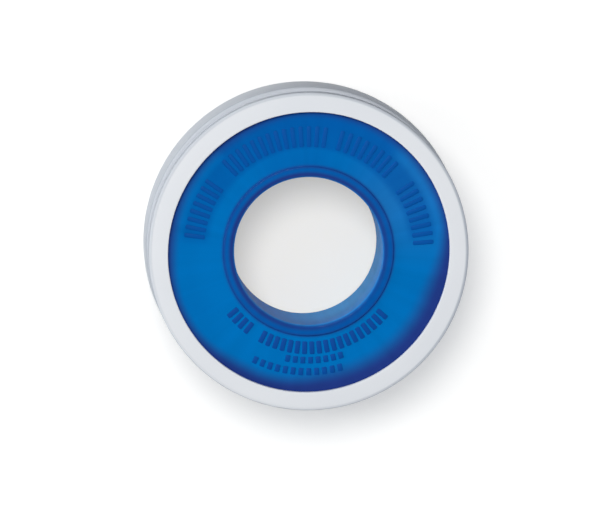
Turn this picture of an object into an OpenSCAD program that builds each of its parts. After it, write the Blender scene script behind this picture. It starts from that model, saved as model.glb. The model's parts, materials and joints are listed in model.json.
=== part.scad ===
// Roll of thread seal tape: a hubbed disc wound with tape, turning inside a two-piece white case.
// The roll lies on its rear face. The origin is the middle of that face, and +Z is the roll's axis.

/* [Tape] */
// Width of the tape
tape_w = 12.7; // [6:0.1:25]
// Radial build of the tape wound on the hub
tape_build = 8.5; // [4:0.1:16]
// Step left on the roll where the free end of the outer lap stops
lap_step = 0.4; // [0.2:0.05:0.8]

/* [Spool] */
// Diameter of the through bore
bore_d = 24.3; // [14:0.1:34]
// Wall of the hub tube
hub_wall = 1.5; // [1.2:0.1:3]
// Width of the shoulder between the hub tube and its journal
shoulder_w = 0.5; // [0.3:0.05:0.8]
// Thickness of the disc
disc_t = 1; // [0.8:0.1:2]
// Reach of the disc past the wound tape
disc_overhang = 1.55; // [1:0.05:3]
// Width of the raised ring round the bore
bore_ring_w = 1.75; // [1:0.05:3]
// Height of the raised ring round the bore
bore_ring_h = 0.35; // [0.2:0.05:0.8]

/* [Front cap] */
// Thickness of the lip that covers the disc's edge
lip_t = 1; // [0.8:0.1:2]
// Reach of the lip over the disc's edge
lip_overlap = 0.75; // [0.3:0.05:1]
// Height of the rim round the cap's face
rim_h = 2.8; // [1.5:0.1:4]
// Wall of the skirt that pushes into the rear cup
skirt_wall = 1.08; // [0.8:0.01:2]

/* [Rear cup] */
// Wall of the rear cup at its mouth
cup_wall = 1; // [0.8:0.05:2]
// How much wider the rear cup is at its foot than at its mouth, on the radius
cup_draft = 0.2; // [0:0.05:0.5]
// Thickness of the rear cup's floor
cup_floor = 1; // [0.8:0.1:2]
// Height of the finger groove between the cap's rim and the rear cup
groove_h = 4.9; // [3:0.1:8]
// How far the rear cup's mouth stands out past the cap's rim
cup_proud = 0.15; // [0:0.05:0.6]

/* [Clearances] */
// Radial gap between the skirt and the rear cup
skirt_fit = 0.12; // [0.05:0.01:0.3]
// Radial running gap between the journal and the hole in the rear cup
journal_fit = 0.08; // [0.03:0.01:0.1]
// End play of the spool above the rear cup's floor
end_play = 0.1; // [0.05:0.05:0.3]
// Gap beside the tape, above the floor and under the disc
tape_side_gap = 0.1; // [0.05:0.05:0.4]
// Radial gap between the hub and the tape's first lap
winding_gap = 0.05; // [0.02:0.01:0.2]
// Gap between the disc and the lip above it
disc_lip_gap = 0.3; // [0.1:0.05:0.6]
// Radial gap between the disc's edge and the skirt
disc_edge_gap = 0.3; // [0.2:0.05:0.6]
// Height of the journal's end above the rear face
journal_recess = 0.1; // [0.05:0.05:0.4]

/* [Roundings] */
// Radius of the case's outer edges
case_edge_r = 0.45; // [0.1:0.05:0.6]
// Radius of the lip's inner edge
lip_edge_r = 0.15; // [0.05:0.05:0.4]
// Radius of the edges of the spool's disc and raised ring
spool_edge_r = 0.25; // [0.1:0.05:0.3]
// Radius of the bore's front edge
bore_edge_r = 0.5; // [0.1:0.05:0.6]

/* [Hidden] */
// Sides of a turned shape
turn_sides = 128;
// Segments in a rounded corner
corner_steps = 4;
// Segments in the outer lap of tape
lap_sides = 120;
// Turn angle of the outer lap where the free end stops
free_end_angle = 60;
// Share of a wall that a rounding may take
round_share = 0.45;
// Overlap that carries a cut clear of a face
cut = 0.5;

// Radii, from the bore outwards
bore_r = bore_d / 2;
hub_r = bore_r + hub_wall;
journal_r = hub_r - shoulder_w;
hole_r = journal_r + journal_fit;
bore_ring_r = bore_r + bore_ring_w;
tape_inner_r = hub_r + winding_gap;
tape_outer_r = tape_inner_r + tape_build;
disc_r = tape_outer_r + disc_overhang;
lip_r = disc_r - lip_overlap;
skirt_inner_r = disc_r + disc_edge_gap;
skirt_outer_r = skirt_inner_r + skirt_wall;
cup_inner_r = skirt_outer_r + skirt_fit;
cup_mouth_r = cup_inner_r + cup_wall;
cup_foot_r = cup_mouth_r + cup_draft;
rim_r = cup_mouth_r - cup_proud;

// Heights, from the rear face upwards
shoulder_z = cup_floor + end_play;
tape_z = shoulder_z + tape_side_gap;
disc_z = tape_z + tape_w + tape_side_gap;
disc_top_z = disc_z + disc_t;
lip_z = disc_top_z + disc_lip_gap;
face_z = lip_z + lip_t;
rim_z = face_z - rim_h;
cup_top_z = rim_z - groove_h;

// Roundings, limited by the wall that carries them
rim_edge_r = min(case_edge_r, lip_t * round_share);
inner_edge_r = min(lip_edge_r, lip_t * round_share);
cup_edge_r = min(case_edge_r, cup_wall * round_share);
disc_edge_r = min(spool_edge_r, disc_t * round_share);
ring_edge_r = min(spool_edge_r, bore_ring_h * round_share);
mouth_edge_r = min(bore_edge_r, hub_wall * round_share, bore_ring_w * round_share);

// Points of a quarter round about a centre, from a start angle anticlockwise
function quarter_round(centre_r, centre_z, radius, start_angle) = [
    for (step = [0 : corner_steps])
        let (angle = start_angle + 90 * step / corner_steps)
            [centre_r + radius * cos(angle), centre_z + radius * sin(angle)]
];

// Rounded corner where an outer wall meets a top face
function outer_top(wall_r, top_z, radius) = quarter_round(wall_r - radius, top_z - radius, radius, 0);

// Rounded corner where a top face meets an inner wall
function inner_top(wall_r, top_z, radius) = quarter_round(wall_r + radius, top_z - radius, radius, 90);

// Rounded corner where a bottom face meets an outer wall
function outer_bottom(wall_r, bottom_z, radius) =
    quarter_round(wall_r - radius, bottom_z + radius, radius, 270);

// Outline of the wound tape: one lap whose radius grows by the step of the free end
function lap_outline() = [
    for (side = [0 : lap_sides])
        let (
            turn = side / lap_sides,
            radius = tape_outer_r - lap_step * (1 - turn),
            angle = free_end_angle + 360 * turn
        )
            [radius * cos(angle), radius * sin(angle)]
];

// Solid turned about the axis from a profile of radius and height
module turned(profile) {
    rotate_extrude($fn = turn_sides)
        polygon(profile);
}

// White cup at the rear: a floor with the hole that the journal turns in, and a plain wall with draft
module rear_cup() {
    color("whitesmoke")
        turned(concat(
            [[hole_r, 0]],
            outer_bottom(cup_foot_r, 0, cup_edge_r),
            outer_top(cup_mouth_r, cup_top_z, cup_edge_r),
            [[cup_inner_r, cup_top_z], [cup_inner_r, cup_floor], [hole_r, cup_floor]]
        ));
}

// White cap at the front: a flat lip over the disc's edge, a rim, and a skirt inside the rear cup
module front_cap() {
    color("white")
        turned(concat(
            [
                [lip_r, lip_z],
                [skirt_inner_r, lip_z],
                [skirt_inner_r, cup_floor],
                [skirt_outer_r, cup_floor],
                [skirt_outer_r, rim_z]
            ],
            outer_bottom(rim_r, rim_z, rim_edge_r),
            outer_top(rim_r, face_z, rim_edge_r),
            inner_top(lip_r, face_z, inner_edge_r)
        ));
}

// Blue spool: a disc on a hub tube, with a raised ring round the bore and a journal at the rear
module spool() {
    color("royalblue")
        turned(concat(
            [
                [bore_r, journal_recess],
                [journal_r, journal_recess],
                [journal_r, shoulder_z],
                [hub_r, shoulder_z],
                [hub_r, disc_z]
            ],
            outer_bottom(disc_r, disc_z, disc_edge_r),
            outer_top(disc_r, disc_top_z, disc_edge_r),
            [[bore_ring_r, disc_top_z]],
            outer_top(bore_ring_r, disc_top_z + bore_ring_h, ring_edge_r),
            inner_top(bore_r, disc_top_z + bore_ring_h, mouth_edge_r)
        ));
}

// Wound tape: a plain core whose outer lap ends in the step of its free end
module tape_winding() {
    color("ghostwhite")
        translate([0, 0, tape_z])
            difference() {
                linear_extrude(tape_w)
                    polygon(lap_outline());
                translate([0, 0, -cut])
                    cylinder(h = tape_w + 2 * cut, r = tape_inner_r, $fn = turn_sides);
            }
}

rear_cup();
front_cap();
spool();
tape_winding();
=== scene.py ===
"""Looks of a roll of thread seal tape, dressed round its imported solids.

The roll lies on its rear face with its axis along +Z, and the blue disc faces up. Every piece is a
surface worked out with numpy, in metres, in the frame of the solids: most are an outline of radius
and height carried round the axis. Turn angles run clockwise from +Y, as seen from the front.
"""

import json
import math
from typing import NamedTuple

import bpy
import numpy as np
from bpy.props import FloatProperty, FloatVectorProperty, PointerProperty
from bpy.types import Operator, Panel, PropertyGroup
from mathutils import Matrix, Vector


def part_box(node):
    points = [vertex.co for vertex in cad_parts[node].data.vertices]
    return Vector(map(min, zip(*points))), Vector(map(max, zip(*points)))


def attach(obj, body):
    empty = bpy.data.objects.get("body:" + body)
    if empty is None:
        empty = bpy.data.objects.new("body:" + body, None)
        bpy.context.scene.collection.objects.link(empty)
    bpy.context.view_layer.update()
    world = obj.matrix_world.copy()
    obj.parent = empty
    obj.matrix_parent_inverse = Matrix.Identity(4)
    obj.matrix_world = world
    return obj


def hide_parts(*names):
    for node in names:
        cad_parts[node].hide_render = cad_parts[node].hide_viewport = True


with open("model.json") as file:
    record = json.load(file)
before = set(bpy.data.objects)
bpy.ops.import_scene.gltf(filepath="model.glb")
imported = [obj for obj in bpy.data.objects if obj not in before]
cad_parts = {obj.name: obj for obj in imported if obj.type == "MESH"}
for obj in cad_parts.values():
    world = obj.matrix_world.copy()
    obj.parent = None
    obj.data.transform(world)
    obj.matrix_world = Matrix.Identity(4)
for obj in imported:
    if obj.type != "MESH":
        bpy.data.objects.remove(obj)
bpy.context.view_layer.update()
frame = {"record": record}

bl_info = {
    "name": "Thread Seal Tape Roll",
    "version": (1, 0, 0),
    "blender": (4, 5, 0),
    "location": "3D View > Sidebar > Tape Roll",
    "description": "Dresses a thread seal tape roll: white case, blue spool and wound tape",
    "category": "Object",
}

MM = 0.001
TURN = 2 * math.pi

# Fineness of the surfaces
TURNED_SIDES = 256
ARC_STEPS = 6
RUN_STEP = 0.6 * MM
RIB_SIDES = 14
RIDGE_STEPS = 5
FREE_END_STEPS = 4

# Sockets of the mix node for colours
COLOUR_A = 6
COLOUR_B = 7
MIXED_COLOUR = 2

# Solids that the pieces are dressed round
CUP_LOW, CUP_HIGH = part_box("rear_cup")
CAP_LOW, CAP_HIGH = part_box("front_cap")
SPOOL_LOW, SPOOL_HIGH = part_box("spool")
TAPE_LOW, TAPE_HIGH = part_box("tape_winding")
MOUNTS = {mount["name"]: mount for mount in frame["record"]["mounts"]}
BORE_RADIUS = MOUNTS["hub_bore"]["dims"]["r_mm"] * MM

# Start and end of a soft edge, as heights or radii from an edge of the piece
LEDGE_FADE = (-0.8 * MM, -0.3 * MM)
CUP_WALL_FADE = (-7 * MM, -0.5 * MM)
UNDER_RIM_FADE = (0.2 * MM, 0.8 * MM)
OVER_CUP_FADE = (-0.5 * MM, 0)
RIM_EDGE_FADE = (-0.65 * MM, -0.25 * MM)
BORE_WALL_FADE = (0.03 * MM, 0.3 * MM)
MOUTH_FADE = (0.02 * MM, 0.15 * MM)
RING_FADE = (0, 0.3 * MM)

# Slack for telling which face a point lies on
SKIRT_SLACK = 0.05 * MM
SIDE_SLACK = 0.01 * MM

# Floor: half width, gap under the roll, and share of the cup's radius that the bore shows
FLOOR_HALF = 3.0
FLOOR_GAP = 0.02 * MM
BORE_FLOOR_SHARE = 0.7

# Upward part of the directions between which the backdrop dims, and its level overhead
BACKDROP_FADE = (0.3, 0.9)
BACKDROP_TOP = 0.2


# Settings that a user would change

def setting(name, description, default, **kind):
    """A number setting, with the limits and the unit or subtype of its kind."""
    return FloatProperty(name=name, description=description, default=default, **kind)


def length(name, description, millimetres):
    """A length setting, given in millimetres and held in metres."""
    return setting(name, description, millimetres * MM, unit="LENGTH", precision=5)


def angle(name, description, degrees):
    """An angle setting, given in degrees and held in radians."""
    return setting(name, description, math.radians(degrees), subtype="ANGLE")


def ratio(name, description, value):
    """A share from 0 to 1."""
    return setting(name, description, value, min=0, max=1, subtype="FACTOR")


def level(name, description, value, unit="NONE"):
    """A number of 0 or more."""
    return setting(name, description, value, min=0, unit=unit)


def colour(name, description, red, green, blue):
    """A colour setting, in linear light."""
    default = (red, green, blue, 1.0)
    return FloatVectorProperty(
        name=name, description=description, default=default, subtype="COLOR", size=4, min=0, max=1
    )


class CaseSettings(PropertyGroup):
    """Sizes and colours of the white case."""

    cup_wall: length("Cup wall", "Wall of the rear cup at its mouth", 1)
    cup_draft: length("Cup draft", "How far its foot stands out from its mouth", 0.2)
    cup_floor: length("Cup floor", "Thickness of the cup's floor", 1)
    hole_radius: length("Hole radius", "Hole that the hub turns in", 13.23)
    skirt_inner: length("Skirt inner radius", "Inside of the cap's skirt", 24.05)
    skirt_outer: length("Skirt outer radius", "Outside of the cap's skirt", 25.13)
    lip_radius: length("Lip radius", "Opening in the cap's lip", 23)
    lip_thickness: length("Lip thickness", "Thickness of the cap's lip", 1)
    lip_rounding: length("Lip rounding", "Inner edge of the lip", 0.15)
    lip_crown: length("Lip crown", "Fall of its face from the crest to the rim", 0.1)
    lip_crest: length("Lip crest", "Width of its face inside the crest", 0.7)
    lip_offset: length("Lip offset", "How far the opening lies off the axis", 0.09)
    lip_offset_turn: angle("Lip offset turn", "Where the opening is shifted to", 172)
    lip_oval: length("Lip oval", "How far the lip is out of round, on the radius", 0.15)
    lip_oval_turn: angle("Lip oval turn", "Where the opening is widest", 46)
    rim_height: length("Rim height", "Height of the cap's rim", 2.8)
    rim_rounding: length("Rim rounding", "Edge round the cap's face", 0.3)
    edge_rounding: length("Edge rounding", "Other outer edges", 0.45)
    inner_rounding: length("Inner rounding", "Inner edges", 0.12)
    # Painted shade: the rim's edge, the groove under the rim and the cup's wall near its mouth blend
    # towards a darker white, which on the rim's edge swings with the turn angle.
    rim_shade: ratio("Rim dull", "How dull the rim's edge is on the whole", 0.56)
    rim_shade_swing: ratio("Rim dull swing", "How far that swings once in a turn", 0.33)
    rim_shade_turn: angle("Rim dull turn", "Where the rim's edge is darkest", 62)
    rim_shade_waist: ratio("Rim dull waist", "How far that swings twice in a turn", 0.15)
    rim_waist_turn: angle("Rim waist turn", "A crest of the second swing", 105)
    groove_shade: ratio("Groove dull", "How dull the finger groove is", 0.67)
    wall_shade: ratio("Wall dull", "Share of that on the cup's wall near its mouth", 0.3)
    white: colour("White", "White of the moulding", 0.805, 0.81, 0.83)
    shade: colour("Shade", "Slightly duller patches in the white", 0.77, 0.78, 0.805)
    # Darker white that paints the shade in the groove and on the rim.
    shaded: colour("Shaded white", "White where it is dulled most", 0.439, 0.467, 0.517)


class SpoolSettings(PropertyGroup):
    """Sizes and colours of the blue spool."""

    hub_wall: length("Hub wall", "Wall of the hub tube", 1.5)
    shoulder: length("Shoulder", "Step from the hub tube to its journal", 0.5)
    shoulder_height: length("Shoulder height", "From the rear face to the shoulder", 1.1)
    disc_thickness: length("Disc thickness", "Thickness of the disc", 1)
    ring_width: length("Ring width", "Width of the raised ring round the bore", 1.75)
    ring_height: length("Ring height", "From the disc to the ring's top", 0.35)
    outer_rounding: length("Outer rounding", "Edges of the ring and the journal", 0.15)
    mouth_rounding: length("Mouth rounding", "Front edge of the bore", 0.5)
    edge_rounding: length("Edge rounding", "Edges of the disc", 0.25)
    shoulder_rounding: length("Shoulder rounding", "Corner inside the shoulder", 0.05)
    foot_rounding: length("Foot rounding", "Foot of the hub tube and of the ring", 0.1)
    root_rounding: length("Root rounding", "Corner between hub tube and disc", 0.2)
    groove_depth: length("Groove depth", "Depth of the shallow groove on the ring", 0.012)
    groove_width: length("Groove width", "Half width of that groove", 0.16)
    backed: colour("Backed blue", "Where the tape lies behind the disc", 0.0, 0.172, 0.515)
    # Painted sheen: a paler blue on one side of the disc.
    sheen_blue: colour("Hazy blue", "Backed blue on the disc's milky side", 0.011, 0.174, 0.51)
    clear: colour("Clear blue", "Where nothing lies behind the disc", 0.001, 0.093, 0.38)
    # Deep blue also paints the shade round one side of the bore's mouth.
    deep: colour("Deep blue", "At the disc's rim and the bore's edge", 0.017, 0.042, 0.225)
    wall: colour("Wall blue", "Bore's wall near its mouth", 0.029, 0.262, 0.68)
    # Painted light: the paler blue of the bore's wall low down.
    lit_wall: colour("Rear wall blue", "Bore's wall near the floor", 0.065, 0.53, 1.0)


class ToneSettings(PropertyGroup):
    """Where the translucent disc shows paler or deeper, with the painted sheen, light and shade on the
    spool.
    """

    band_inner: length("Band inner radius", "Where the deeper upper band starts", 16.6)
    band_outer: length("Band outer radius", "Where the band ends at its sides", 20.8)
    band_fade: length("Band fade", "Width of the band's soft edges", 1.6)
    band_half: angle("Band half span", "Half the span of the band", 88)
    band_top_half: angle("Band top half span", "Half the span where it reaches the rim", 38)
    band_depth: ratio("Band depth", "Share of the tape's backing that it lacks", 0.75)
    band_sides: ratio("Band sides", "How much weaker the band is at its sides", 0.22)
    turn_fade: angle("Turn fade", "Angle that the band's soft ends take", 9)
    top_depth: ratio("Top depth", "Share of the backing lacking near the top", 0.4)
    top_half: angle("Top half span", "Half the span of that", 60)
    tape_edge: length("Tape edge", "Radius where the tape behind the disc ends", 22.5)
    tape_fade: length("Tape fade", "Width of that soft edge", 2)
    gap_fade: ratio("Gap fade", "Share of a shortfall that widens that edge", 0.8)
    ring_backing: ratio("Ring backing", "How pale the ring is, from clear to backed", 0.18)
    # Painted light: the ring's paleness swings with the turn angle.
    ring_swing: ratio("Ring swing", "How far that swings round the ring", 0.08)
    line_depth: ratio("Line depth", "How deep the line at the ring's outer edge is", 0.5)
    line_width: length("Line width", "Half width of that line", 0.32)
    mouth_radius: length("Mouth radius", "Radius of the deep line round the mouth", 12.65)
    mouth_width: length("Mouth width", "Half width of that line", 0.42)
    mouth_evenness: level("Mouth evenness", "Power that keeps it deep for most of a turn", 0.2)
    # Painted shade on the mouth's line and painted light on the ring are strongest here.
    mouth_turn: angle("Mouth turn", "Where that line is deepest and the ring palest", 310)
    # Painted light and shade on the bore's wall: deepest on one side, paler low down on the others.
    wall_shade_turn: angle("Wall turn", "Where the bore's wall is deepest", 225)
    wall_shade_half: angle("Wall half span", "Half the span of that deeper side", 80)
    wall_low: ratio("Wall low", "Share of the disc's height up to which it is palest", 0.35)
    # Painted sheen: where the paler blue lies on the disc.
    sheen_turn: angle("Haze turn", "Middle of the milky side", 60)
    sheen_half: angle("Haze half span", "Half the span of the milky side", 46)


class RibSettings(PropertyGroup):
    """Plain raised ribs on the disc."""

    height: length("Height", "Height of the ribs above the disc", 0.1)
    sunk: length("Sunk", "How far the ribs reach into the disc", 0.05)
    blue: colour("Rib blue", "Blue of the ribs", 0.002, 0.088, 0.365)
    deep: colour("Deep rib blue", "Blue of the deepest ribs", 0.005, 0.067, 0.315)


class TapeSettings(PropertyGroup):
    """Sizes and colours of the wound tape."""

    outer_radius: length("Outer radius", "Radius of the roll at the free end", 22.2)
    hub_gap: length("Hub gap", "Gap between the hub and the first lap", 0.05)
    lap_step: length("Lap step", "Step at the free end of the outer lap", 0.4)
    free_end: angle("Free end", "Place of the free end, anticlockwise from +X", 60)
    free_ramp: ratio("Free ramp", "Share of the lap in which the free end drops back", 0.004)
    ridge_pitch: length("Ridge pitch", "Pitch of the fine turns on the roll's sides", 0.5)
    ridge_depth: length("Ridge depth", "Depth of those turns", 0.06)
    edge_rounding: length("Edge rounding", "Edges of the roll", 0.08)
    white: colour("White", "White of the tape", 0.86, 0.86, 0.85)
    shade: colour("Shade", "Grey of the streaks", 0.7, 0.7, 0.7)
    streaks_per_metre: level("Streaks", "How closely they lie, in a metre of width", 700)


class StageSettings(PropertyGroup):
    """Camera, floor and surrounding light."""

    camera_distance: length("Camera distance", "From the camera to the front face", 990)
    view_width: length("View width", "Width of the view at the front face", 99.2)
    aim_x: length("Aim X", "Middle of the view on the front face, along X", -0.75)
    aim_y: length("Aim Y", "Middle of the view on the front face, along Y", -1.93)
    camera_tilt: angle("Camera tilt", "Between the roll's axis and the line of sight", 8)
    camera_turn: angle("Camera turn", "Side that the camera leans to", 334)
    sky_tint: colour("Sky tint", "Colour of the light from all round", 0.78, 0.88, 1.0)
    sky_level: level("Sky level", "Strength of the light from straight above", 0.36)
    horizon_level: level("Horizon level", "Strength of the light from the horizon", 0.07)
    floor_tone: colour("Floor tone", "Floor as the camera sees it", 0.63, 0.624, 0.615)
    bounce_tone: colour("Bounce tone", "Floor as the roll sees it", 0.12, 0.15, 0.195)
    floor_lift: colour("Floor lift", "Added to the floor for the camera", 0.44, 0.438, 0.436)
    far_lift: colour("Far lift", "Added to the floor far from the roll", 0.95, 0.95, 0.95)
    far_start: length("Far start", "From the axis to where the far lift starts", 28)
    far_end: length("Far end", "From the axis to where the far lift is full", 150)
    # Painted light and shade: the floor seen in the bore takes its own tone and lift, which keep it
    # grey and soften the shade near the hub's wall.
    bore_tone: colour("Bore tone", "Floor as the camera sees it in the bore", 0.5, 0.495, 0.488)
    bore_lift: colour("Bore lift", "Added to the floor seen in the bore", 0.46, 0.438, 0.385)


def light_settings(light, turn, height, distance, width, power, tint):
    """A group of settings for one soft light, with its own defaults."""
    settings = {
        "turn": angle("Turn", f"Side that the {light} light comes from", turn),
        "height": angle("Height", f"Angle of the {light} light above the floor", height),
        "distance": length("Distance", f"From the roll to the {light} light", distance),
        "width": length("Width", f"Width of the {light} light", width),
        "power": level("Power", f"Power of the {light} light", power, unit="POWER"),
        "tint": colour("Tint", f"Colour of the {light} light", *tint),
    }
    name = f"{light.capitalize()}LightSettings"
    return type(name, (PropertyGroup,), {"__annotations__": settings})


LIGHTS = {
    "key": light_settings(
        "main", turn=331, height=70, distance=750, width=320, power=3.8, tint=(1.0, 0.99, 0.97)
    ),
    "side": light_settings(
        "side", turn=278, height=11, distance=600, width=220, power=1.5, tint=(0.91, 0.965, 1.0)
    ),
    "fill": light_settings(
        "fill", turn=132, height=5, distance=600, width=100, power=1.15, tint=(0.95, 0.975, 1.0)
    ),
}


# Outlines and surfaces

class Corner(NamedTuple):
    """A corner of an outline, and the longest part of the straight run that follows it."""

    radius: float
    height: float
    rounding: float
    step: float = RUN_STEP


def unit_rows(vectors):
    """Rows scaled to length 1."""
    return vectors / np.linalg.norm(vectors, axis=1, keepdims=True)


def rounded_outline(corners):
    """Closed outline of radius and height through rounded corners.

    Each corner becomes an arc that touches both its sides: its centre lies on the bisector, at the
    rounding over the sine of the half angle. Straight runs are split into equal parts no longer
    than their step.
    """
    rows = np.array(corners)
    points, rounding, step = rows[:, :2], rows[:, 2], rows[:, 3]
    back = unit_rows(np.roll(points, 1, axis=0) - points)
    ahead = unit_rows(np.roll(points, -1, axis=0) - points)
    half = np.arccos(np.clip((back * ahead).sum(axis=1), -1, 1)) / 2
    centre = points + unit_rows(back + ahead) * (rounding / np.sin(half))[:, None]
    start = points + back * (rounding / np.tan(half))[:, None] - centre
    side = np.sign(back[:, 1] * ahead[:, 0] - back[:, 0] * ahead[:, 1])
    sweep = side * (math.pi - 2 * half)
    first = np.arctan2(start[:, 1], start[:, 0])
    bearing = first[:, None] + sweep[:, None] * np.linspace(0, 1, ARC_STEPS + 1)
    spokes = np.stack([np.cos(bearing), np.sin(bearing)], axis=-1)
    outline = (centre[:, None] + rounding[:, None, None] * spokes).reshape(-1, 2)
    gap = np.roll(outline, -1, axis=0) - outline
    parts = np.ones(len(outline), dtype=int)
    runs = slice(ARC_STEPS, None, ARC_STEPS + 1)
    parts[runs] = np.maximum(1, np.ceil(np.linalg.norm(gap[runs], axis=1) / step))
    owner = np.repeat(np.arange(len(outline)), parts)
    share = (np.arange(len(owner)) - (np.cumsum(parts) - parts)[owner]) / parts[owner]
    return outline[owner] + gap[owner] * share[:, None]


def polar_points(radius, turn, height):
    """Points from radius, turn angle anticlockwise from +X, and height."""
    radius, turn, height = np.broadcast_arrays(radius, turn, height)
    return np.stack([radius * np.cos(turn), radius * np.sin(turn), height], axis=-1)


def turned(outline):
    """Grid of points: an outline of radius and height at equal turn angles round the axis."""
    turn = np.linspace(0, TURN, TURNED_SIDES, endpoint=False)[:, None]
    return polar_points(outline[None, :, 0], turn, outline[None, :, 1])


def radius_and_turn(points):
    """Distance from the axis and turn angle clockwise from +Y, for each point."""
    x, y = points[..., 0], points[..., 1]
    return np.hypot(x, y), np.arctan2(x, y)


def angle_between(turn, middle):
    """Unsigned angle from a middle turn angle, from 0 to half a turn."""
    return np.abs(np.angle(np.exp(1j * (turn - middle))))


def smooth_step(low, high, values):
    """0 up to low, 1 from high, and an even S curve between them."""
    share = np.clip((values - low) / (high - low), 0, 1)
    return share * share * (3 - 2 * share)


def soft_edge(values, width):
    """0 to 1 along that curve, across an edge of a given width with its middle at 0."""
    return smooth_step(-width / 2, width / 2, values)


def bell(values, width):
    """1 at 0, falling as a bell curve to 1/e at the width on both sides."""
    return np.exp(-((values / width) ** 2))


def two_waves(turn, once, once_turn, twice, twice_turn):
    """A wave with one crest in a turn plus a wave with two."""
    return once * np.cos(turn - once_turn) + twice * np.cos(2 * (turn - twice_turn))


def ring_quads(rows, columns, wrap_rows=True):
    """Corner numbers of the quads of a grid whose columns wrap, and whose rows wrap if asked."""
    number = np.arange(rows * columns).reshape(rows, columns)
    across = np.roll(number, -1, axis=1)
    ring = [number, np.roll(number, -1, axis=0), np.roll(across, -1, axis=0), across]
    return np.stack(ring, axis=-1)[: rows if wrap_rows else rows - 1].reshape(-1, 4)


def add_piece(name, points, faces, material, body):
    """A smooth mesh object that rides on a body and takes its finish from a slot."""
    mesh = bpy.data.meshes.new(name)
    mesh.from_pydata(points.reshape(-1, 3).tolist(), [], faces, shade_flat=False)
    mesh.validate()
    mesh.materials.append(material)
    piece = bpy.data.objects.new(name, mesh)
    bpy.context.scene.collection.objects.link(piece)
    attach(piece, body)
    return piece


def add_turned_piece(name, points, material, body):
    """A piece whose grid of points closes on itself both ways."""
    faces = ring_quads(*points.shape[:2]).tolist()
    return add_piece(name, points, faces, material, body)


def add_mask(piece, name, values):
    """A value from 0 to 1 at each point of a piece, which its material reads by name."""
    attribute = piece.data.attributes.new(name, "FLOAT", "POINT")
    attribute.data.foreach_set("value", np.clip(values, 0, 1).astype(np.float32).ravel())


# Materials

def put(tree, kind, inputs=None, **settings):
    """A shader node with its settings, and each input linked to a socket or set to a value."""
    node = tree.nodes.new(kind)
    for name, value in settings.items():
        setattr(node, name, value)
    for name, value in (inputs or {}).items():
        if isinstance(value, bpy.types.NodeSocket):
            tree.links.new(value, node.inputs[name])
        else:
            node.inputs[name].default_value = value
    return node


def mix_colours(tree, factor, first, second, blend="MIX"):
    """Socket of a colour that goes from the first to its blend with the second, by the factor."""
    inputs = {0: factor, COLOUR_A: first, COLOUR_B: second}
    node = put(tree, "ShaderNodeMix", inputs, data_type="RGBA", blend_type=blend)
    return node.outputs[MIXED_COLOUR]


def worked(tree, operation, first, second, clamp=False):
    """Socket of a sum, product or other operation on two numbers."""
    node = put(tree, "ShaderNodeMath", {0: first, 1: second}, operation=operation, use_clamp=clamp)
    return node.outputs[0]


def vector_node(tree, operation, *vectors):
    """Outputs of an operation on vectors."""
    inputs = dict(enumerate(vectors))
    return put(tree, "ShaderNodeVectorMath", inputs, operation=operation).outputs


def ranged(tree, value, given=(0, 1), wanted=(0, 1)):
    """Socket of a value carried evenly from a given range to a wanted one, and held at its ends."""
    names = ("Value", "From Min", "From Max", "To Min", "To Max")
    inputs = dict(zip(names, (value, *given, *wanted)))
    return put(tree, "ShaderNodeMapRange", inputs).outputs["Result"]


def noise(tree, place, scale, detail):
    """Socket of a soft noise."""
    inputs = {"Vector": place, "Scale": scale, "Detail": detail}
    return put(tree, "ShaderNodeTexNoise", inputs).outputs["Fac"]


def object_place(tree):
    """Socket of a point's place in Object coordinates."""
    return put(tree, "ShaderNodeTexCoord").outputs["Object"]


def mask(tree, name):
    """Socket of a piece's mask."""
    return put(tree, "ShaderNodeAttribute", attribute_name=name).outputs["Fac"]


def from_axis(tree, place):
    """Sockets of the direction from the roll's axis, and of the distance from it."""
    flat = vector_node(tree, "MULTIPLY", place, (1, 1, 0))[0]
    return vector_node(tree, "NORMALIZE", flat)[0], vector_node(tree, "LENGTH", flat)["Value"]


# Sockets of the shared grain effect: side, kind and names
GRAIN_SOCKETS = (
    ("INPUT", "Color", ("Tone", "Patch Tone")),
    ("INPUT", "Float", ("Patch Scale", "Grain Scale", "Gloss Low", "Gloss High")),
    ("OUTPUT", "Color", ("Color",)),
    ("OUTPUT", "Float", ("Roughness", "Height")),
)


def moulded_grain():
    """Shared effect: soft patches of tone, uneven gloss and a fine grain, from Object coordinates."""
    tree = bpy.data.node_groups.get("moulded_grain")
    if tree:
        return tree
    tree = bpy.data.node_groups.new("moulded_grain", "ShaderNodeTree")
    for side, kind, names in GRAIN_SOCKETS:
        for name in names:
            tree.interface.new_socket(name, in_out=side, socket_type=f"NodeSocket{kind}")
    given = put(tree, "NodeGroupInput").outputs
    place = object_place(tree)
    patches = noise(tree, place, given["Patch Scale"], detail=4)
    grain = noise(tree, place, given["Grain Scale"], detail=2)
    spread = ranged(tree, patches, given=(0.35, 0.65))
    gloss = ranged(tree, patches, wanted=(given["Gloss Low"], given["Gloss High"]))
    tone = mix_colours(tree, spread, given["Tone"], given["Patch Tone"])
    put(tree, "NodeGroupOutput", {"Color": tone, "Roughness": gloss, "Height": grain})
    return tree


def grain_node(tree, tone, patch_tone, patch_scale, grain_scale, gloss):
    """Outputs of the shared grain effect, placed in a material with its inputs filled in order."""
    inputs = dict(enumerate((tone, patch_tone, patch_scale, grain_scale, *gloss)))
    return put(tree, "ShaderNodeGroup", inputs, node_tree=moulded_grain()).outputs


def spread_noise(tree, place, scale, detail, wanted):
    """Socket of a soft noise, spread evenly over a wanted range."""
    return ranged(tree, noise(tree, place, scale, detail), given=(0.3, 0.7), wanted=wanted)


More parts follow.
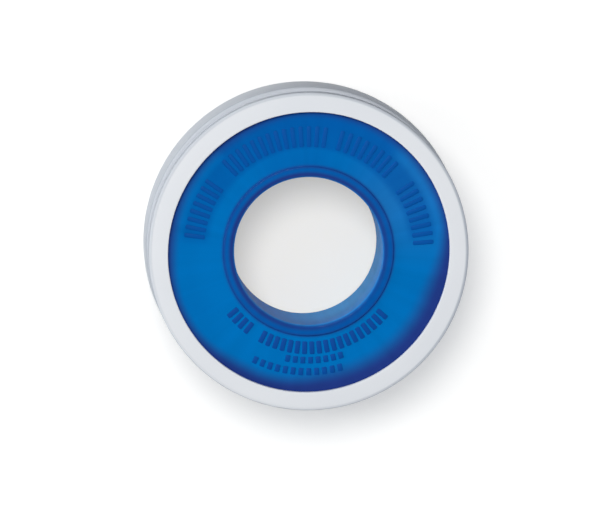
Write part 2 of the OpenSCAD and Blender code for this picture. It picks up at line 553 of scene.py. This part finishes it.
def new_material(name, **constants):
    """A material with one Principled shader, whose plain inputs are set directly."""
    material = bpy.data.materials.new(name)
    material.use_nodes = True
    tree = material.node_tree
    shader = tree.nodes["Principled BSDF"]
    for socket, value in constants.items():
        shader.inputs[socket.replace("_", " ")].default_value = value
    return material, tree, shader


def finish_shader(tree, shader, tone, grain, bump_strength, bump_height=0.02 * MM):
    """Links a tone and the grain's gloss and height to the Principled shader."""
    inputs = {"Strength": bump_strength, "Distance": bump_height, "Height": grain["Height"]}
    bump = put(tree, "ShaderNodeBump", inputs)
    tree.links.new(tone, shader.inputs["Base Color"])
    tree.links.new(grain["Roughness"], shader.inputs["Roughness"])
    tree.links.new(bump.outputs["Normal"], shader.inputs["Normal"])


def case_material(case):
    """Satin white moulding: faint patches and a fine grain, with painted shade in the groove and on the
    rim.
    """
    material = bpy.data.materials.get("case_white_moulding")
    if material:
        return material
    material, tree, shader = new_material("case_white_moulding", Specular_IOR_Level=0.12)
    grain = grain_node(
        tree, case.white, case.shade, patch_scale=45, grain_scale=5000, gloss=(0.5, 0.65)
    )
    # Painted shade: the white blends towards its darker tone by the mask.
    tone = mix_colours(tree, mask(tree, "painted_shade"), grain["Color"], case.shaded)
    finish_shader(tree, shader, tone, grain, bump_strength=0.15)
    return material


def spool_material(spool):
    """Translucent blue moulding: paler where tape lies behind it, deeper at its rim and edges, with a
    painted sheen on one side and painted light and shade on the bore's mouth and wall.

    Clouds make the tape's contact uneven, and faint streaks run out from the bore, as the melt
    flowed: their noise is read at the direction from the axis, so it is the same along a radius.
    """
    material, tree, shader = new_material(
        "spool_blue_moulding", Specular_IOR_Level=0, Coat_Roughness=0.12
    )
    place = object_place(tree)
    outward = from_axis(tree, place)[0]
    clouds = spread_noise(tree, place, scale=130, detail=3, wanted=(-0.1, 0.1))
    streaks = spread_noise(tree, outward, scale=9, detail=3, wanted=(0.95, 1.03))
    contact = worked(tree, "ADD", mask(tree, "tape_contact"), clouds, clamp=True)
    # Painted sheen: a paler blue on one side of the disc.
    highlit = mix_colours(tree, mask(tree, "painted_sheen"), spool.backed, spool.sheen_blue)
    backed = mix_colours(tree, contact, spool.clear, highlit)
    # Painted light low on the bore's wall, held off its shaded side.
    wall = mix_colours(tree, mask(tree, "painted_wall_light"), spool.wall, spool.lit_wall)
    walled = mix_colours(tree, mask(tree, "bore_wall"), backed, wall)
    # Deep blue, which also paints the shade round one side of the mouth.
    deep = mix_colours(tree, mask(tree, "deep_edge"), walled, spool.deep)
    streaked = mix_colours(tree, 1, deep, streaks, "MULTIPLY")
    grain = grain_node(tree, streaked, streaked, patch_scale=120, grain_scale=3000, gloss=(0.12, 0.22))
    coat = ranged(tree, mask(tree, "bore_wall"), wanted=(0.05, 0.15))
    tree.links.new(coat, shader.inputs["Coat Weight"])
    finish_shader(tree, shader, grain["Color"], grain, bump_strength=0.1)
    return material


def rib_material(ribs):
    """The spool's moulding where it is thicker, so a deeper blue, with each row's own depth."""
    material, tree, shader = new_material(
        "rib_blue_moulding", Specular_IOR_Level=0, Coat_Weight=0.05, Coat_Roughness=0.4
    )
    tone = mix_colours(tree, mask(tree, "row_depth"), ribs.blue, ribs.deep)
    grain = grain_node(tree, tone, tone, patch_scale=200, grain_scale=3000, gloss=(0.15, 0.3))
    finish_shader(tree, shader, grain["Color"], grain, bump_strength=0.1)
    return material


def tape_material(tape):
    """Soft white tape with faint grey streaks along it.

    The streaks' noise is read at the direction from the axis and at the sum of radius and height,
    so it runs round the roll on its outside and on its sides.
    """
    material, tree, shader = new_material("tape_soft_white", Specular_IOR_Level=0.3)
    place = object_place(tree)
    outward, radius = from_axis(tree, place)
    height = put(tree, "ShaderNodeSeparateXYZ", {0: place}).outputs["Z"]
    across = worked(tree, "ADD", radius, height)
    fine = worked(tree, "MULTIPLY", across, tape.streaks_per_metre)
    aside = put(tree, "ShaderNodeCombineXYZ", {"Z": fine}).outputs[0]
    along = vector_node(tree, "ADD", outward, aside)[0]
    streaks = spread_noise(tree, along, scale=2.5, detail=4, wanted=(0, 0.55))
    streaked = mix_colours(tree, streaks, tape.white, tape.shade)
    grain = grain_node(tree, streaked, streaked, patch_scale=200, grain_scale=2500, gloss=(0.5, 0.7))
    finish_shader(tree, shader, grain["Color"], grain, bump_strength=0.2, bump_height=0.03 * MM)
    return material


# Operators, one for each piece and one for the stage

class ROLL_OT_rear_cup(Operator):
    """Turn the white rear cup: a floor with a hole, and a plain wall with draft"""

    bl_idname = "tape_roll.rear_cup"
    bl_label = "Rear Cup"

    def execute(self, context):
        case = context.scene.tape_roll_case
        foot = CUP_HIGH.x
        mouth = foot - case.cup_draft
        inner = mouth - case.cup_wall
        edge, soft = case.edge_rounding, case.inner_rounding
        outline = rounded_outline([
            Corner(case.hole_radius, CUP_LOW.z, soft),
            Corner(foot, CUP_LOW.z, edge, step=0.4 * MM),
            Corner(mouth, CUP_HIGH.z, edge, step=0.1 * MM),
            Corner(inner, CUP_HIGH.z, soft),
            Corner(inner, case.cup_floor, soft),
            Corner(case.hole_radius, case.cup_floor, soft, step=0.3 * MM),
        ])
        points = turned(outline)
        piece = add_turned_piece("rear_cup_shell", points, case_material(case), "case")
        # Painted shade on the ledge at the cup's mouth, fading down its wall.
        below_top = points[..., 2] - CUP_HIGH.z
        ledge = smooth_step(*LEDGE_FADE, below_top)
        wall = case.wall_shade * smooth_step(*CUP_WALL_FADE, below_top)
        add_mask(piece, "painted_shade", case.groove_shade * np.maximum(ledge, wall))
        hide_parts("rear_cup")
        return {"FINISHED"}


class ROLL_OT_front_cap(Operator):
    """Turn the white front cap: a flat lip, a rim and the skirt inside the rear cup"""

    bl_idname = "tape_roll.front_cap"
    bl_label = "Front Cap"

    def execute(self, context):
        case = context.scene.tape_roll_case
        rim, face = CAP_HIGH.x, CAP_HIGH.z
        lip_under = face - case.lip_thickness
        rim_under = face - case.rim_height
        edge, soft = case.edge_rounding, case.inner_rounding
        outline = rounded_outline([
            Corner(case.lip_radius, lip_under, soft, step=0.2 * MM),
            Corner(case.skirt_inner, lip_under, soft),
            Corner(case.skirt_inner, CAP_LOW.z, soft, step=0.2 * MM),
            Corner(case.skirt_outer, CAP_LOW.z, soft),
            Corner(case.skirt_outer, rim_under, soft, step=0.2 * MM),
            Corner(rim, rim_under, edge, step=0.2 * MM),
            Corner(rim, face, case.rim_rounding, step=0.1 * MM),
            Corner(case.lip_radius, face, case.lip_rounding, step=0.1 * MM),
        ])
        points = self.out_of_round(turned(self.crowned(outline, case)), case)
        piece = add_turned_piece("front_cap_shell", points, case_material(case), "cap")
        # Painted shade in the groove under the rim and on the rim's edge.
        add_mask(piece, "painted_shade", self.painted_shade(points, rim, rim_under, case))
        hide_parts("front_cap")
        return {"FINISHED"}

    def painted_shade(self, points, rim, rim_under, case):
        """Painted shade: how far the white darkens in the groove under the rim, and on the rim's wall
        and edge, where it swings with the turn angle.
        """
        radius, turn = radius_and_turn(points)
        height = points[..., 2]
        under_rim = 1 - smooth_step(*UNDER_RIM_FADE, height - rim_under)
        over_cup = smooth_step(*OVER_CUP_FADE, height - CUP_HIGH.z)
        outside = radius > case.skirt_outer - SKIRT_SLACK
        on_edge = smooth_step(*RIM_EDGE_FADE, radius - rim)
        swing = two_waves(
            turn, case.rim_shade_swing, case.rim_shade_turn, case.rim_shade_waist, case.rim_waist_turn
        )
        in_groove = case.groove_shade * under_rim * over_cup * outside
        return np.maximum(in_groove, on_edge * (case.rim_shade + swing))

    def crowned(self, outline, case):
        """The face falls by the crown times the square of its share of the way from crest to rim."""
        radius, height = outline.T
        crest = case.lip_radius + case.lip_crest
        share = (radius - crest) / (CAP_HIGH.x - crest)
        on_lip = smooth_step(-case.lip_thickness, -case.edge_rounding, height - CAP_HIGH.z)
        return np.stack([radius, height - case.lip_crown * on_lip * share**2], axis=1)

    def out_of_round(self, points, case):
        """The lip's inner edge moves along its radius by a wave with one crest for an offset and a
        wave with two for an oval, and this fades to nothing towards the skirt."""
        radius, turn = radius_and_turn(points)
        wave = two_waves(
            turn, case.lip_offset, case.lip_offset_turn, case.lip_oval, case.lip_oval_turn
        )
        share = 1 - smooth_step(case.lip_radius, case.skirt_inner, radius)
        moved = points.copy()
        moved[..., :2] *= (1 + wave * share / radius)[..., None]
        return moved


class Shortfall(NamedTuple):
    """Where the deep blue at the disc's rim reaches further in: turn, half span and fade in degrees,
    and depth in mm.
    """

    turn: float
    half_span: float
    fade: float
    depth: float

    def reach(self, turn):
        """How far the deep blue reaches further in at each turn angle."""
        aside = np.degrees(angle_between(turn, math.radians(self.turn))) - self.half_span
        return self.depth * MM * (1 - soft_edge(aside, self.fade))


SHORTFALLS = (
    Shortfall(turn=140, half_span=47, fade=36, depth=2.0),
    Shortfall(turn=207, half_span=15, fade=30, depth=0.85),
    Shortfall(turn=302, half_span=40, fade=30, depth=0.55),
)


class ROLL_OT_spool(Operator):
    """Turn the blue spool: disc, hub tube, journal and the raised ring round the bore"""

    bl_idname = "tape_roll.spool"
    bl_label = "Spool"

    def execute(self, context):
        spool = context.scene.tape_roll_spool
        tone = context.scene.tape_roll_tone
        bore, disc = BORE_RADIUS, SPOOL_HIGH.x
        hub = bore + spool.hub_wall
        journal = hub - spool.shoulder
        shoulder = spool.shoulder_height
        ring = bore + spool.ring_width
        ring_top = SPOOL_HIGH.z
        disc_top = ring_top - spool.ring_height
        disc_under = disc_top - spool.disc_thickness
        edge, outer, foot = spool.edge_rounding, spool.outer_rounding, spool.foot_rounding
        outline = rounded_outline([
            Corner(bore, SPOOL_LOW.z, outer, step=0.3 * MM),
            Corner(journal, SPOOL_LOW.z, outer, step=0.3 * MM),
            Corner(journal, shoulder, spool.shoulder_rounding, step=0.2 * MM),
            Corner(hub, shoulder, foot),
            Corner(hub, disc_under, spool.root_rounding, step=0.5 * MM),
            Corner(disc, disc_under, edge, step=0.2 * MM),
            Corner(disc, disc_top, edge, step=0.15 * MM),
            Corner(ring, disc_top, foot, step=0.05 * MM),
            Corner(ring, ring_top, outer, step=0.05 * MM),
            Corner(bore, ring_top, spool.mouth_rounding, step=0.4 * MM),
        ])
        points = turned(self.grooved(outline, spool, tone.mouth_radius))
        piece = add_turned_piece("spool_moulding", points, spool_material(spool), "spool")
        self.add_masks(piece, points, disc_top, ring, tone)
        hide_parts("spool")
        return {"FINISHED"}

    def grooved(self, outline, spool, middle):
        """A shallow groove on the raised ring: it lowers the top by a bell curve of the radius."""
        radius, height = outline.T
        on_top = height > SPOOL_HIGH.z - spool.groove_depth
        dip = spool.groove_depth * bell(radius - middle, spool.groove_width)
        return np.stack([radius, height - on_top * dip], axis=1)

    def add_masks(self, piece, points, disc_top, ring, tone):
        """Masks of radius, turn angle and height: backing, a painted sheen, deep blue with painted
        shade at the mouth, and the bore's wall with painted light and shade.
        """
        radius, turn = radius_and_turn(points)
        add_mask(piece, "tape_contact", self.contact(radius, turn, ring, tone))
        # Painted sheen on one side of the disc.
        add_mask(piece, "painted_sheen", 1 - smooth_step(0, tone.sheen_half, angle_between(turn, tone.sheen_turn)))
        rim = self.rim_depth(radius, turn, tone)
        lines = self.line_depth(radius, turn, ring, tone)
        add_mask(piece, "deep_edge", np.maximum(rim, lines))
        add_mask(piece, "bore_wall", 1 - smooth_step(*BORE_WALL_FADE, radius - BORE_RADIUS))
        # Painted light low on the bore's wall, and painted shade on one side of it.
        low = 1 - smooth_step(tone.wall_low * disc_top, disc_top, points[..., 2])
        lit = smooth_step(0, tone.wall_shade_half, angle_between(turn, tone.wall_shade_turn))
        add_mask(piece, "painted_wall_light", low * lit)

    def contact(self, radius, turn, ring, tone):
        """1 on the disc, less near the top and in the upper band, which there reaches the rim, and a
        share on the raised ring that swings with the cosine of the turn angle, as painted light."""
        from_top = angle_between(turn, 0)
        inner = soft_edge(radius - tone.band_inner, tone.band_fade)
        outer = soft_edge(radius - tone.band_outer, tone.band_fade)
        sides = smooth_step(0, tone.turn_fade, from_top - tone.band_top_half)
        span = 1 - smooth_step(-tone.turn_fade, 0, from_top - tone.band_half)
        band = span * inner * (1 - outer * sides) * (1 - tone.band_sides * sides)
        on_disc = smooth_step(*RING_FADE, radius - ring)
        # Painted light: the ring is paler on one side.
        on_ring = tone.ring_backing + tone.ring_swing * np.cos(turn - tone.mouth_turn)
        near_top = tone.top_depth * (1 - smooth_step(0, tone.top_half, from_top))
        lack = np.maximum(tone.band_depth * band, near_top)
        return np.maximum(on_disc * (1 - lack), on_ring)

    def rim_depth(self, radius, turn, tone):
        """Rises across the edge of the tape behind the disc, and starts further in at some turn angles.
        """
        gap = sum(shortfall.reach(turn) for shortfall in SHORTFALLS)
        return soft_edge(radius - tone.tape_edge + gap, tone.tape_fade + tone.gap_fade * gap)

    def line_depth(self, radius, turn, ring, tone):
        """Bell curves of the radius at the raised ring's outer edge and round the bore's mouth, where
        the depth is a power of half of one plus the cosine of the turn angle, as painted shade."""
        edge = tone.line_depth * bell(radius - ring, tone.line_width)
        mouth = bell(radius - tone.mouth_radius, tone.mouth_width)
        # Painted shade: the mouth's line is deepest on one side.
        facing = (0.5 + 0.5 * np.cos(turn - tone.mouth_turn)) ** tone.mouth_evenness
        off_wall = smooth_step(*MOUTH_FADE, radius - BORE_RADIUS)
        return np.maximum(edge, off_wall * mouth * facing)


class RibRow(NamedTuple):
    """Ribs that point to the axis: middle radius and size in mm, depth of blue, and turn angles
    in degrees, as a pitch and the first and last of each run."""

    radius: float
    length: float
    width: float
    depth: float
    pitch: float
    runs: tuple

    def turns(self):
        """Turn angles of all ribs, at equal steps nearest to the pitch in each run."""
        steps = [round((last - first) / self.pitch) for first, last in self.runs]
        runs = [np.linspace(*run, count + 1) for run, count in zip(self.runs, steps)]
        return np.radians(np.concatenate(runs))


RIB_ROWS = (
    RibRow(
        radius=18.8, length=3.4, width=0.7, depth=0, pitch=4,
        runs=((-82, -55), (-43, 8), (16, 45), (57, 86)),
    ),
    RibRow(
        radius=15.9, length=2.1, width=0.8, depth=0.75, pitch=4.3, runs=((131, 208), (218, 231))
    ),
    RibRow(radius=17.95, length=1.1, width=0.8, depth=0.5, pitch=4, runs=((163, 191),)),
    RibRow(radius=19.85, length=1.2, width=0.8, depth=0.5, pitch=3.7, runs=((165, 206),)),
)

# Stations of a rib's end: share of the half length, and share of the full section there
RIB_END = np.array([(1.0, 0.45), (0.96, 0.85), (0.88, 1.0)])


class ROLL_OT_ribs(Operator):
    """Raise rows of plain ribs on the disc"""

    bl_idname = "tape_roll.ribs"
    bl_label = "Ribs"

    def execute(self, context):
        ribs = context.scene.tape_roll_ribs
        foot = SPOOL_HIGH.z - context.scene.tape_roll_spool.ring_height
        points, faces, depth = self.bars(foot, ribs)
        piece = add_piece("spool_ribs", points, faces, rib_material(ribs), "spool")
        add_mask(piece, "row_depth", np.repeat(depth, points.shape[1]))
        return {"FINISHED"}

    def bars(self, foot, ribs):
        """Bars along the radius: a section with rounded shoulders, where both the square root of
        the cosine and that of the sine of a full turn set the points, drawn in at both ends."""
        turns = [row.turns() for row in RIB_ROWS]
        counts = [len(row) for row in turns]
        sizes = [(row.radius * MM, row.length * MM, row.width * MM, row.depth) for row in RIB_ROWS]
        middle, span, width, depth = np.repeat(sizes, counts, axis=0).T[:, :, None, None]
        turn = np.concatenate(turns)[:, None, None]
        along, drawn_in = np.concatenate([RIB_END * (-1, 1), RIB_END[::-1]]).T[:, :, None]
        section = np.linspace(0, TURN, RIB_SIDES, endpoint=False)
        cosine, sine = np.cos(section), np.sin(section)
        across = np.sign(cosine) * np.sqrt(np.abs(cosine)) * width / 2
        rise = np.sqrt(np.abs(sine)) * np.where(sine > 0, ribs.height, -ribs.sunk)
        radius = middle + along * span / 2
        bearing = turn + drawn_in * across / radius
        points = polar_points(radius, math.pi / 2 - bearing, foot + drawn_in * rise)
        bars, rows, columns = points.shape[:3]
        ends = points[:, [0, -1]].mean(axis=2)
        points = np.concatenate([points.reshape(bars, -1, 3), ends], axis=1)
        per_bar = rows * columns + 2
        number = np.arange(columns)
        after = np.roll(number, -1)
        last = (rows - 1) * columns
        near = np.stack([after, number, np.full(columns, per_bar - 2)], axis=1)
        far = np.stack([last + number, last + after, np.full(columns, per_bar - 1)], axis=1)
        offset = (np.arange(bars) * per_bar)[:, None, None]
        quads = (ring_quads(rows, columns, wrap_rows=False) + offset).reshape(-1, 4)
        triangles = (np.concatenate([near, far]) + offset).reshape(-1, 3)
        return points, [*quads.tolist(), *triangles.tolist()], depth


class ROLL_OT_tape(Operator):
    """Wind the tape: a roll whose outer lap ends in a free edge, with fine turns on its sides"""

    bl_idname = "tape_roll.tape"
    bl_label = "Tape"

    def execute(self, context):
        tape = context.scene.tape_roll_tape
        inner = BORE_RADIUS + context.scene.tape_roll_spool.hub_wall + tape.hub_gap
        outer, edge = tape.outer_radius, tape.edge_rounding
        side_step = tape.ridge_pitch / RIDGE_STEPS
        outline = rounded_outline([
            Corner(inner, TAPE_LOW.z, edge, side_step),
            Corner(outer, TAPE_LOW.z, edge, step=0.3 * MM),
            Corner(outer, TAPE_HIGH.z, edge, side_step),
            Corner(inner, TAPE_HIGH.z, edge),
        ])
        points = self.wound(outline, inner, tape)
        piece = add_turned_piece("wound_tape", points, tape_material(tape), "spool")
        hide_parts("tape_winding")
        return {"FINISHED"}

    def wound(self, outline, inner, tape):
        """One lap of a spiral: the outline's radii reach outer less the step times what is left of
        the lap, and drop back to the start within a short ramp. The sides dip by a cosine of the
        radius less the spiral's own growth, so the dips run round as one spiral line."""
        full = 1 - tape.free_ramp
        lap = np.concatenate([
            np.linspace(0, full, TURNED_SIDES, endpoint=False),
            np.linspace(full, 1, FREE_END_STEPS, endpoint=False),
        ])
        grown = np.interp(lap, [0, full, 1], [0, 1, 0])
        reach = tape.outer_radius - tape.lap_step * (1 - grown)
        share = (outline[:, 0] - inner) / (tape.outer_radius - inner)
        radius = inner + share * (reach[:, None] - inner)
        height = outline[:, 1]
        on_under = np.isclose(height, TAPE_LOW.z, atol=SIDE_SLACK)
        on_top = np.isclose(height, TAPE_HIGH.z, atol=SIDE_SLACK)
        phase = TURN * (radius / tape.ridge_pitch - lap[:, None])
        dip = tape.ridge_depth * (0.5 - 0.5 * np.cos(phase))
        height = height + (on_under.astype(int) - on_top) * dip
        return polar_points(radius, tape.free_end + TURN * lap[:, None], height)


class ROLL_OT_stage(Operator):
    """Set the camera, the pale floor, the backdrop and three soft lights"""

    bl_idname = "tape_roll.stage"
    bl_label = "Stage"

    def execute(self, context):
        scene = context.scene
        stage = scene.tape_roll_stage
        self.add_camera(scene, stage)
        for name in LIGHTS:
            self.add_softbox(scene, name, getattr(scene, f"tape_roll_{name}"))
        self.add_floor(scene, stage)
        self.add_world(scene, stage)
        scene.view_settings.view_transform = "Standard"
        return {"FINISHED"}

    def standing(self, aim, turn, tilt, distance):
        """Place that looks at an aim from a distance, with +Y up in the view: the way back from the
        aim leans from +Z by a tilt, towards a turn angle clockwise from +Y."""
        flat = math.sin(tilt)
        back = Vector((math.sin(turn) * flat, math.cos(turn) * flat, math.cos(tilt)))
        right = Vector((0, 1, 0)).cross(back).normalized()
        facing = Matrix((right, back.cross(right), back)).transposed().to_4x4()
        return Matrix.Translation(aim + back * distance) @ facing

    def add_camera(self, scene, stage):
        """A camera that leans from the roll's axis and looks at a point of its front face."""
        camera = bpy.data.cameras.new("camera")
        camera.lens = camera.sensor_width * stage.camera_distance / stage.view_width
        viewer = bpy.data.objects.new("camera", camera)
        aim = Vector((stage.aim_x, stage.aim_y, CAP_HIGH.z))
        viewer.matrix_world = self.standing(
            aim, stage.camera_turn, stage.camera_tilt, stage.camera_distance
        )
        scene.collection.objects.link(viewer)
        scene.camera = viewer

    def add_softbox(self, scene, name, light):
        """A round soft light, which faces the roll and isn't seen itself."""
        lamp = bpy.data.lights.new(name, "AREA")
        lamp.shape = "DISK"
        lamp.size = light.width
        lamp.energy = light.power
        lamp.color = light.tint[:3]
        softbox = bpy.data.objects.new(name, lamp)
        tilt = math.pi / 2 - light.height
        softbox.matrix_world = self.standing(Vector(), light.turn, tilt, light.distance)
        softbox.visible_camera = False
        scene.collection.objects.link(softbox)

    def mix_shown(self, tree, hidden, shown):
        """Socket of a shader that is the second node for what the camera sees, straight or in gloss
        or glass, and the first for the rest."""
        rays = put(tree, "ShaderNodeLightPath").outputs
        gloss = worked(tree, "MAXIMUM", rays["Is Camera Ray"], rays["Is Glossy Ray"])
        seen = worked(tree, "MAXIMUM", gloss, rays["Is Transmission Ray"])
        inputs = {0: seen, 1: hidden.outputs[0], 2: shown.outputs[0]}
        return put(tree, "ShaderNodeMixShader", inputs).outputs[0]

    def add_floor(self, scene, stage):
        """A pale floor that takes the shadow, with light added for the camera by the distance."""
        material = bpy.data.materials.new("pale_floor")
        material.use_nodes = True
        tree = material.node_tree
        tree.nodes.clear()
        distance = vector_node(tree, "LENGTH", object_place(tree))["Value"]
        # Painted light and shade: in the bore the floor takes its own tone and lift.
        outside = worked(tree, "GREATER_THAN", distance, CUP_HIGH.x * BORE_FLOOR_SHARE)
        far = ranged(tree, distance, given=(stage.far_start, stage.far_end))
        pale_tone = mix_colours(tree, outside, stage.bore_tone, stage.floor_tone)
        near_tone = mix_colours(tree, outside, stage.bore_lift, stage.floor_lift)
        lift_tone = mix_colours(tree, far, near_tone, stage.far_lift)
        pale = put(tree, "ShaderNodeBsdfDiffuse", {"Color": pale_tone})
        lift = put(tree, "ShaderNodeEmission", {"Color": lift_tone})
        lifted = put(tree, "ShaderNodeAddShader", {0: pale.outputs[0], 1: lift.outputs[0]})
        grey = put(tree, "ShaderNodeBsdfDiffuse", {"Color": stage.bounce_tone})
        put(tree, "ShaderNodeOutputMaterial", {"Surface": self.mix_shown(tree, grey, lifted)})
        mesh = bpy.data.meshes.new("floor")
        below = CUP_LOW.z - FLOOR_GAP
        corners = ((-1, -1), (1, -1), (1, 1), (-1, 1))
        square = [(x * FLOOR_HALF, y * FLOOR_HALF, below) for x, y in corners]
        mesh.from_pydata(square, [], [(0, 1, 2, 3)])
        mesh.materials.append(material)
        floor = bpy.data.objects.new("floor", mesh)
        scene.collection.objects.link(floor)

    def add_world(self, scene, stage):
        """A sky that brightens upwards for the roll, and a white backdrop for the camera."""
        world = bpy.data.worlds.new("studio")
        scene.world = world
        world.use_nodes = True
        tree = world.node_tree
        tree.nodes.clear()
        direction = put(tree, "ShaderNodeTexCoord").outputs["Generated"]
        height = put(tree, "ShaderNodeSeparateXYZ", {0: direction}).outputs["Z"]
        sky_level = ranged(tree, height, wanted=(stage.horizon_level, stage.sky_level))
        sky = put(tree, "ShaderNodeBackground", {"Color": stage.sky_tint, "Strength": sky_level})
        backdrop_level = ranged(tree, height, given=BACKDROP_FADE, wanted=(1, BACKDROP_TOP))
        backdrop = put(tree, "ShaderNodeBackground", {"Strength": backdrop_level})
        put(tree, "ShaderNodeOutputWorld", {"Surface": self.mix_shown(tree, sky, backdrop)})


class ROLL_PT_sidebar(Panel):
    """Lists the pieces in the 3D view's sidebar"""

    bl_idname = "ROLL_PT_sidebar"
    bl_label = "Tape Roll"
    bl_space_type = "VIEW_3D"
    bl_region_type = "UI"
    bl_category = "Tape Roll"

    def draw(self, context):
        for operator in OPERATORS:
            self.layout.operator(operator.bl_idname)


SETTINGS = {
    "case": CaseSettings,
    "spool": SpoolSettings,
    "tone": ToneSettings,
    "ribs": RibSettings,
    "tape": TapeSettings,
    "stage": StageSettings,
    **LIGHTS,
}
OPERATORS = (
    ROLL_OT_rear_cup,
    ROLL_OT_front_cap,
    ROLL_OT_spool,
    ROLL_OT_ribs,
    ROLL_OT_tape,
    ROLL_OT_stage,
)
CLASSES = (*SETTINGS.values(), *OPERATORS, ROLL_PT_sidebar)


def register():
    for cls in CLASSES:
        bpy.utils.register_class(cls)
    for name, group in SETTINGS.items():
        setattr(bpy.types.Scene, f"tape_roll_{name}", PointerProperty(type=group))


def unregister():
    for name in SETTINGS:
        delattr(bpy.types.Scene, f"tape_roll_{name}")
    for cls in reversed(CLASSES):
        bpy.utils.unregister_class(cls)


def main():
    register()
    bpy.ops.tape_roll.rear_cup()
    bpy.ops.tape_roll.front_cap()
    bpy.ops.tape_roll.spool()
    bpy.ops.tape_roll.ribs()
    bpy.ops.tape_roll.tape()
    bpy.ops.tape_roll.stage()


if __name__ == "__main__":
    main()
